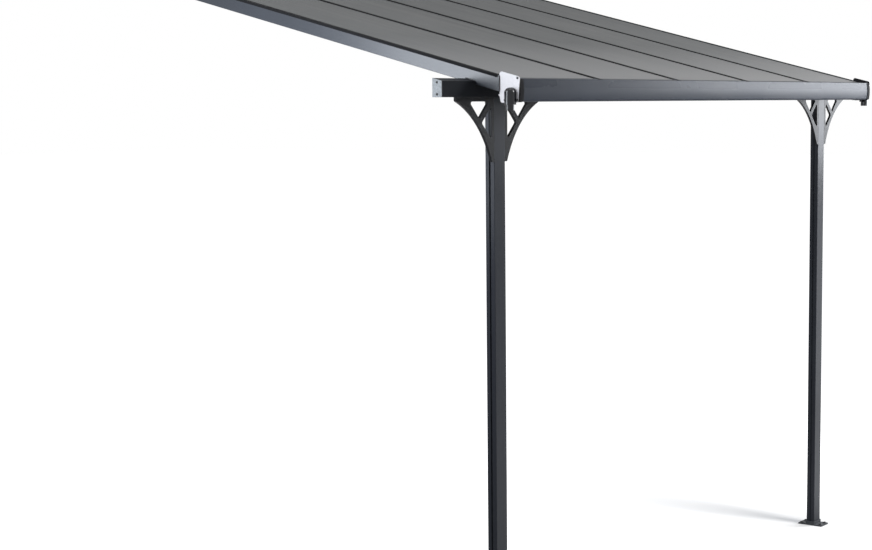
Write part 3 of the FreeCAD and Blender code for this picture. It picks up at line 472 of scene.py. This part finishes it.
def twin_wall_sheet(name, dark, light):
    """Grey sheet with the shadow of its webs, dust in soft streaks and silt near the eave."""
    finish, tree, shader, place = new_finish(name)
    parts = shader_node(tree, "SeparateXYZ", {0: place})
    flute = figure(tree, "DIVIDE", parts.outputs["X"], WEB_PITCH)
    from_web = figure(tree, "PINGPONG", flute, 0.5)
    web = spread(tree, from_web, 0.03, 0.14, 1.0, 0.0)
    streaks = shader_node(tree, "VectorMath", {0: place, 1: (42, 0.9, 0.9)}, operation="MULTIPLY")
    streak = shader_node(tree, "TexNoise", {"Vector": streaks.outputs[0], "Scale": 1.0, "Detail": 5.0})
    cloud = shader_node(tree, "TexNoise", {"Vector": place, "Scale": 1.1, "Detail": 3.0})
    grain = placed_group(tree, coat_grain, {"Place": place, "Die Stretch": (300, 3, 3)})
    film = placed_group(tree, rain_film, {"Place": place, "Amount": 0.18, "Patch Scale": 3.0})
    mottled = tint(tree, spread(tree, cloud.outputs[0], 0.35, 0.65, 0.0, 1.0), (*dark, 1), (*light, 1))
    streaked = tint(tree, spread(tree, streak.outputs[0], 0.45, 0.75, 0.0, 0.25), mottled,
                    STREAK_DUST)
    webbed = tint(tree, figure(tree, "MULTIPLY", web, 0.3), streaked, WEB_SHADOW)
    washed_down = spread(tree, parts.outputs["Y"], EAVE_Y + SILT_REACH, EAVE_Y, 0.0, SILT_SHARE)
    silted = tint(tree, washed_down, webbed, EAVE_SILT)
    dusty = tint(tree, film["Mask"], silted, SHEET_DUST)
    flat_gloss = figure(tree, "MULTIPLY_ADD", streak.outputs[0], 0.12, 0.5)
    gloss = figure(tree, "MULTIPLY_ADD", film["Mask"], 0.4, flat_gloss)
    relief = shader_node(tree, "Bump", {"Strength": 0.25, "Distance": 0.0004,
                                        "Height": figure(tree, "MULTIPLY_ADD", web, -0.8, grain["Height"])})
    feed(tree, shader.inputs["Base Color"], dusty)
    feed(tree, shader.inputs["Roughness"], gloss)
    feed(tree, shader.inputs["Normal"], relief.outputs[0])
    shader.inputs["Specular IOR Level"].default_value = 0.06
    return finish


sheet_finish = twin_wall_sheet("sheet_finish", (0.078, 0.082, 0.083), (0.098, 0.102, 0.102))
dress(sheet_finish, *SHEET_NAMES)


# Sheet edge trims
# A folded aluminium U trim under the frame's dark coat closes the flutes at the front edge
# of each sheet. It is pushed on before the sheet slides in.

trim_coat = powder_coat("trim_coat", DARK_COAT, LIGHT_COAT, ALONG_WALL, roughness=0.42)
dress(trim_coat, *[f"panel_edge_trim_{number}" for number in range(1, 6)])


# Gutter
# An open aluminium trough, three metres long, with a bowed front and a turned-in lip. It
# hangs on the rafters' front ends, in the frame's dark coat with a little more gloss, which
# drips have dulled towards its low edge.

GUTTER_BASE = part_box("gutter")[0].z
DRIP_REACH = 0.050
gutter_coat = powder_coat("gutter_coat", (0.010, 0.014, 0.023), (0.015, 0.020, 0.031), ALONG_WALL,
                          roughness=0.24, drip_edge=(GUTTER_BASE + DRIP_REACH, GUTTER_BASE))
dress(gutter_coat, "gutter")


# Gutter seals
# A soft black rubber sleeve wraps each end of the trough and is squeezed against the
# end plate.

seal_rubber = rubber("seal_rubber", 0.008)
dress(seal_rubber, "gutter_seal_left", "gutter_seal_right")


# Gutter end plates
# A pale anodised aluminium plate closes each end, held by three black screws. Its inner
# face is painted black as painted shade, so it shows pale outside only.

WORN_PLATE = (0.9, 0.9, 0.9, 1)
# Where the painted shade on the plate's inner side begins, and where it is full.
INNER_SHADE_FROM = -0.9
INNER_SHADE_FULL = -1.2


def inner_shaded_plate(name, silver, painted_shade):
    """Satin anodised plate whose inner side is painted black as painted shade.

    A plate stands about 1.5 m to one side of the middle, so its place times its normal is
    about -1.5 on the inner side and 1.5 on the outer one, at both ends.
    """
    finish, tree, shader, place = new_finish(name)
    grain = placed_group(tree, coat_grain, {"Place": place, "Die Stretch": (60, 900, 60),
                                            "Peel Scale": 300.0})
    rub = placed_group(tree, edge_rub, {"Place": place, "Width": 0.0008, "Breakup Scale": 120.0})
    flat = shader_node(tree, "NewGeometry", {})
    facing = shader_node(tree, "VectorMath", {0: flat.outputs["Normal"], 1: place}, operation="MULTIPLY")
    facing_out = shader_node(tree, "SeparateXYZ", {0: facing.outputs[0]}).outputs["X"]
    # Painted shade: faces turned inwards, where the plate lies in shade, are painted black and dull.
    inner_shade = spread(tree, facing_out, INNER_SHADE_FROM, INNER_SHADE_FULL, 0.0, 1.0)
    brushed = tint(tree, spread(tree, grain["Height"], 0.5, 0.9, 0.0, 1.0), (*silver, 1),
                   shade_of(silver, 0.86))
    worn = tint(tree, figure(tree, "MULTIPLY", rub["Mask"], 0.25), brushed, WORN_PLATE)
    with_painted_shade = tint(tree, inner_shade, worn, (*painted_shade, 1))
    relief = shader_node(tree, "Bump", {"Strength": 0.1, "Distance": 0.0002, "Height": grain["Height"],
                                        "Normal": rub["Rounded Normal"]})
    feed(tree, shader.inputs["Base Color"], with_painted_shade)
    feed(tree, shader.inputs["Roughness"], spread(tree, inner_shade, 0.0, 1.0, 0.42, 0.8))
    feed(tree, shader.inputs["Normal"], relief.outputs[0])
    shader.inputs["Specular IOR Level"].default_value = 0.2
    return finish


plate_silver = inner_shaded_plate("plate_silver", (0.70, 0.68, 0.69), (0.012, 0.012, 0.014))
dress(plate_silver, "gutter_end_plate_left", "gutter_end_plate_right")

black_screw = plated_steel("black_screw", (0.008, 0.008, 0.009), 0.45, (0.03, 0.03, 0.032), 0.2)
pan_head = [(0.0042, 0), (0.0042, 0.0008), (0.0038, 0.0017), (0.0029, 0.0024), (0.0018, 0.0026),
            (0.0016, 0.0012)]
PLATE_SCREWS = ((0.0085, 0.082), (0.0092, 0.0065), (0.0620, 0.0065))
for name, side in SIDES:
    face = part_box("gutter_end_plate_left")[0].x * -side
    places = [(face, LIP_Y + inward, GUTTER_BASE + up) for inward, up in PLATE_SCREWS]
    turned_heads(f"end_plate_screws_{name}", pan_head, places, (side, 0, 0), black_screw,
                 hexagon=(4, 5))


# Gutter outlet heads
# A glossy black moulding with a domed top sits on each end plate and lets the water down
# through its spigot.

head_gloss = moulding("head_gloss", (0.006, 0.007, 0.009), (0.009, 0.010, 0.013), 0.16,
                      texture_scale=60.0, depth=0.05, specular=0.35)
dress(head_gloss, "gutter_head_left", "gutter_head_right")


# Front beam and its caps
# A closed aluminium section in the darkest coat, its top sloped with the roof, lies in the
# rafters' notches. A cast light grey cap, held by two small screws, closes each end.

beam_coat = powder_coat("beam_coat", (0.006, 0.007, 0.009), (0.009, 0.010, 0.013), ALONG_WALL,
                        roughness=0.5, specular=0.04)
dress(beam_coat, "front_beam")
WORN_CAP = (0.7, 0.72, 0.74, 1)


def mottled_cap(name, pale, grey):
    """A cast light grey cap with a coarse mottle."""
    finish, tree, shader, place = new_finish(name)
    blotch = shader_node(tree, "TexNoise", {"Vector": place, "Scale": 190.0, "Detail": 4.0,
                                            "Roughness": 0.75})
    grain = placed_group(tree, coat_grain, {"Place": place, "Die Stretch": (50, 50, 50),
                                            "Peel Scale": 800.0})
    rub = placed_group(tree, edge_rub, {"Place": place, "Width": 0.001, "Breakup Scale": 150.0})
    cast = tint(tree, spread(tree, blotch.outputs[0], 0.38, 0.62, 0.0, 1.0), (*pale, 1), (*grey, 1))
    worn = tint(tree, figure(tree, "MULTIPLY", rub["Mask"], 0.3), cast, WORN_CAP)
    relief = shader_node(tree, "Bump", {"Strength": 0.25, "Distance": 0.0003,
                                        "Height": grain["Height"], "Normal": rub["Rounded Normal"]})
    feed(tree, shader.inputs["Base Color"], worn)
    feed(tree, shader.inputs["Roughness"], figure(tree, "MULTIPLY_ADD", blotch.outputs[0], 0.2, 0.45))
    feed(tree, shader.inputs["Normal"], relief.outputs[0])
    shader.inputs["Specular IOR Level"].default_value = 0.4
    return finish


cap_grey = mottled_cap("cap_grey", (0.20, 0.212, 0.22), (0.125, 0.135, 0.142))
dress(cap_grey, "beam_end_cap_left", "beam_end_cap_right")
CAP_SCREW_INSET = 0.010
CAP_TOP_SLANT = 0.005
for name, side in SIDES:
    low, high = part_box(f"beam_end_cap_{name}")
    face = low.x if side < 0 else high.x
    middle = (low.y + high.y) / 2
    places = [(face, middle, low.z + CAP_SCREW_INSET),
              (face, middle, high.z - CAP_SCREW_INSET - CAP_TOP_SLANT)]
    turned_heads(f"beam_cap_screws_{name}", pan_head, places, (side, 0, 0), black_screw,
                 hexagon=(4, 5))


# Rafter saddles
# Thin black mouldings hook over the front beam in each rafter's notch, so that no coat
# rubs on another. They are pushed on by hand.

saddle_moulding = moulding("saddle_moulding", (0.014, 0.014, 0.016), (0.020, 0.020, 0.023), 0.6)
dress(saddle_moulding, *[f"rafter_saddle_{number}" for number in range(1, 7)])


# Posts
# Two aluminium box sections, powder-coated dark grey, with a screw slot down each side.
# They stand in the sockets of their feet and carry the beam.

UPRIGHT = (FINE_ACROSS, FINE_ACROSS, ALONG_PROFILE)
post_coat = powder_coat("post_coat", (0.012, 0.014, 0.019), (0.017, 0.019, 0.025), UPRIGHT,
                        roughness=0.28, lacquer=0.07)
dress(post_coat, "post_left", "post_right")


# Feet
# Flat plates with a low socket welded on, powder-coated dark grey. Four black button-head
# bolts hold each one to the ground.

foot_coat = powder_coat("foot_coat", (0.045, 0.048, 0.054), (0.060, 0.064, 0.070), (40, 40, 40),
                        roughness=0.42)
dress(foot_coat, "foot_left", "foot_right")
button_head = [(0.0100, 0), (0.0100, 0.0012), (0.0076, 0.0014), (0.0074, 0.0030), (0.0062, 0.0048),
               (0.0040, 0.0058), (0.0034, 0.0058), (0.0030, 0.0034)]
FOOT_BOLT_X = 0.024
FOOT_BOLT_Y = 0.050
FOOT_PLATE = 0.006
for name in ("left", "right"):
    low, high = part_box(f"foot_{name}")
    middle = (low + high) / 2
    places = [(middle.x + FOOT_BOLT_X * across, middle.y + FOOT_BOLT_Y * along, low.z + FOOT_PLATE)
              for across in (-1, 1) for along in (-1, 1)]
    turned_heads(f"foot_bolts_{name}", button_head, places, (0, 0, 1), black_screw,
                 hexagon=(6, 7))


# Corner brackets
# Four cast aluminium brackets, each with a curved edge and two openings, coated black. They
# stiffen the corners between the posts and the beam.

bracket_coat = powder_coat("bracket_coat", (0.005, 0.005, 0.006), (0.008, 0.008, 0.009), (60, 60, 60),
                           roughness=0.34, specular=0.06)
dress(bracket_coat, *[f"bracket_{side}_{place}" for side in ("left", "right")
                      for place in ("outer", "inner")])


# Floor, light and camera
# A pale studio floor that runs on into a white background, soft panels of light, and the
# camera two metres up, in front and to the left of the left post.

ROOM_LIGHT = (0.20, 0.21, 0.23, 1)
FULL_WHITE = (1, 1, 1, 1)
NO_GLOW = (0, 0, 0, 1)


def seen_directly(tree):
    """One where the camera, a reflection or a clear piece shows the surface, otherwise zero."""
    ray = shader_node(tree, "LightPath", {}).outputs
    open_view = figure(tree, "MAXIMUM", ray["Is Camera Ray"], ray["Is Glossy Ray"])
    return figure(tree, "MAXIMUM", open_view, ray["Is Transmission Ray"])


def studio_white():
    """White for the camera and for reflections, a soft grey light for everything else."""
    world = bpy.data.worlds.new("studio_white")
    scene.world = world
    world.use_nodes = True
    tree = world.node_tree
    colour = tint(tree, seen_directly(tree), ROOM_LIGHT, FULL_WHITE)
    feed(tree, tree.nodes["Background"].inputs["Color"], colour)
    tree.nodes["Background"].inputs["Strength"].default_value = 1.0


PALE_FLOOR = (0.785, 0.775, 0.76, 1)
GLOW_DISTANCES = (0.2, 2.2)
GLOW_STRETCH = (4.0, 1.0, 0.0)
RIGHT_FOOT = (1.41, -2.62, 0)
LEFT_FOOT = (-1.41, -2.62, 0)
RIGHT_GLOW = (0.04, 0.95)
LEFT_GLOW = (0.15, 0.95)
FLOOR_HALF = 60.0


def glow_round(tree, place, foot, levels):
    """How brightly the floor shines by itself: little at a foot and fully some way off."""
    aside = shader_node(tree, "VectorMath", {0: place, 1: foot}, operation="SUBTRACT").outputs[0]
    drawn = shader_node(tree, "VectorMath", {0: aside, 1: GLOW_STRETCH}, operation="MULTIPLY").outputs[0]
    away = shader_node(tree, "VectorMath", {0: drawn}, operation="LENGTH").outputs["Value"]
    return spread(tree, away, *GLOW_DISTANCES, *levels)


def studio_floor(level):
    """A pale floor that keeps the cover's shadow and meets the background without an edge."""
    finish, tree, shader, place = new_finish("studio_floor")
    share = figure(tree, "MINIMUM", glow_round(tree, place, RIGHT_FOOT, RIGHT_GLOW),
                   glow_round(tree, place, LEFT_FOOT, LEFT_GLOW))
    glow = tint(tree, figure(tree, "MULTIPLY", seen_directly(tree), share), NO_GLOW, FULL_WHITE)
    shader.inputs["Base Color"].default_value = PALE_FLOOR
    shader.inputs["Roughness"].default_value = 0.9
    shader.inputs["Specular IOR Level"].default_value = 0.0
    shader.inputs["Emission Strength"].default_value = 1.0
    feed(tree, shader.inputs["Emission Color"], glow)
    form = bmesh.new()
    corners = [(-FLOOR_HALF, -FLOOR_HALF), (FLOOR_HALF, -FLOOR_HALF),
               (FLOOR_HALF, FLOOR_HALF), (-FLOOR_HALF, FLOOR_HALF)]
    form.faces.new([form.verts.new((x, y, level)) for x, y in corners])
    mesh = bpy.data.meshes.new("studio_floor")
    form.to_mesh(mesh)
    form.free()
    mesh.materials.append(finish)
    floor = bpy.data.objects.new("studio_floor", mesh)
    scene.collection.objects.link(floor)


def light_panel(name, place, aim, width, height, power, colour=(1, 1, 1)):
    """A rectangular soft light, pointed at its aim and not seen itself."""
    lamp = bpy.data.lights.new(name, "AREA")
    lamp.shape = "RECTANGLE"
    lamp.size = width
    lamp.size_y = height
    lamp.energy = power
    lamp.color = colour
    panel = bpy.data.objects.new(name, lamp)
    panel.location = place
    panel.rotation_euler = (Vector(aim) - Vector(place)).to_track_quat("-Z", "Y").to_euler()
    panel.visible_camera = False
    scene.collection.objects.link(panel)


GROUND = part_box("foot_left")[0].z
COOL_LIGHT = (0.88, 0.93, 1.0)
PALE_BLUE_LIGHT = (0.92, 0.95, 1.0)
NEAR_WHITE_LIGHT = (0.95, 0.97, 1.0)
studio_white()
studio_floor(GROUND)
light_panel("left_panel", (-2.75, -1.95, -0.3), (-1.53, -1.95, -0.3), 1.1, 1.1, 43, COOL_LIGHT)
light_panel("low_panel", (-2.75, -1.8, -1.12), (-1.53, -1.8, -1.12), 0.7, 0.5, 14, COOL_LIGHT)
light_panel("right_panel", (4.2, -4.1, -0.40), (1.2, -2.9, -0.48), 2.6, 1.6, 152, PALE_BLUE_LIGHT)
light_panel("right_low_panel", (4.2, -4.1, -2.1), (1.2, -2.9, -2.1), 2.4, 1.4, 13, NEAR_WHITE_LIGHT)
light_panel("front_panel", (1.2, -6.4, 0.9), (1.38, -2.7, -2.9), 1.6, 1.6, 190)
light_panel("overhead_panel", (-1.0, -3.5, 4.5), (0, -1.5, 0), 4.0, 4.0, 80)

LENS = 72.2027
SENSOR_WIDTH = 36.0
CAMERA_PLACE = (-6.59648, -6.35641, -0.82891)
CAMERA_YAW = math.radians(53.332)
CAMERA_PITCH = math.radians(-5.476)
CAMERA_ROLL = math.radians(-0.57447)
lens = bpy.data.cameras.new("view")
lens.lens = LENS
lens.sensor_width = SENSOR_WIDTH
camera = bpy.data.objects.new("view", lens)
camera.matrix_world = (Matrix.Translation(CAMERA_PLACE) @ Matrix.Rotation(-CAMERA_YAW, 4, "Z")
                       @ Matrix.Rotation(math.radians(90) + CAMERA_PITCH, 4, "X")
                       @ Matrix.Rotation(CAMERA_ROLL, 4, "Z"))
scene.collection.objects.link(camera)
scene.camera = camera
scene.view_settings.view_transform = "Standard"
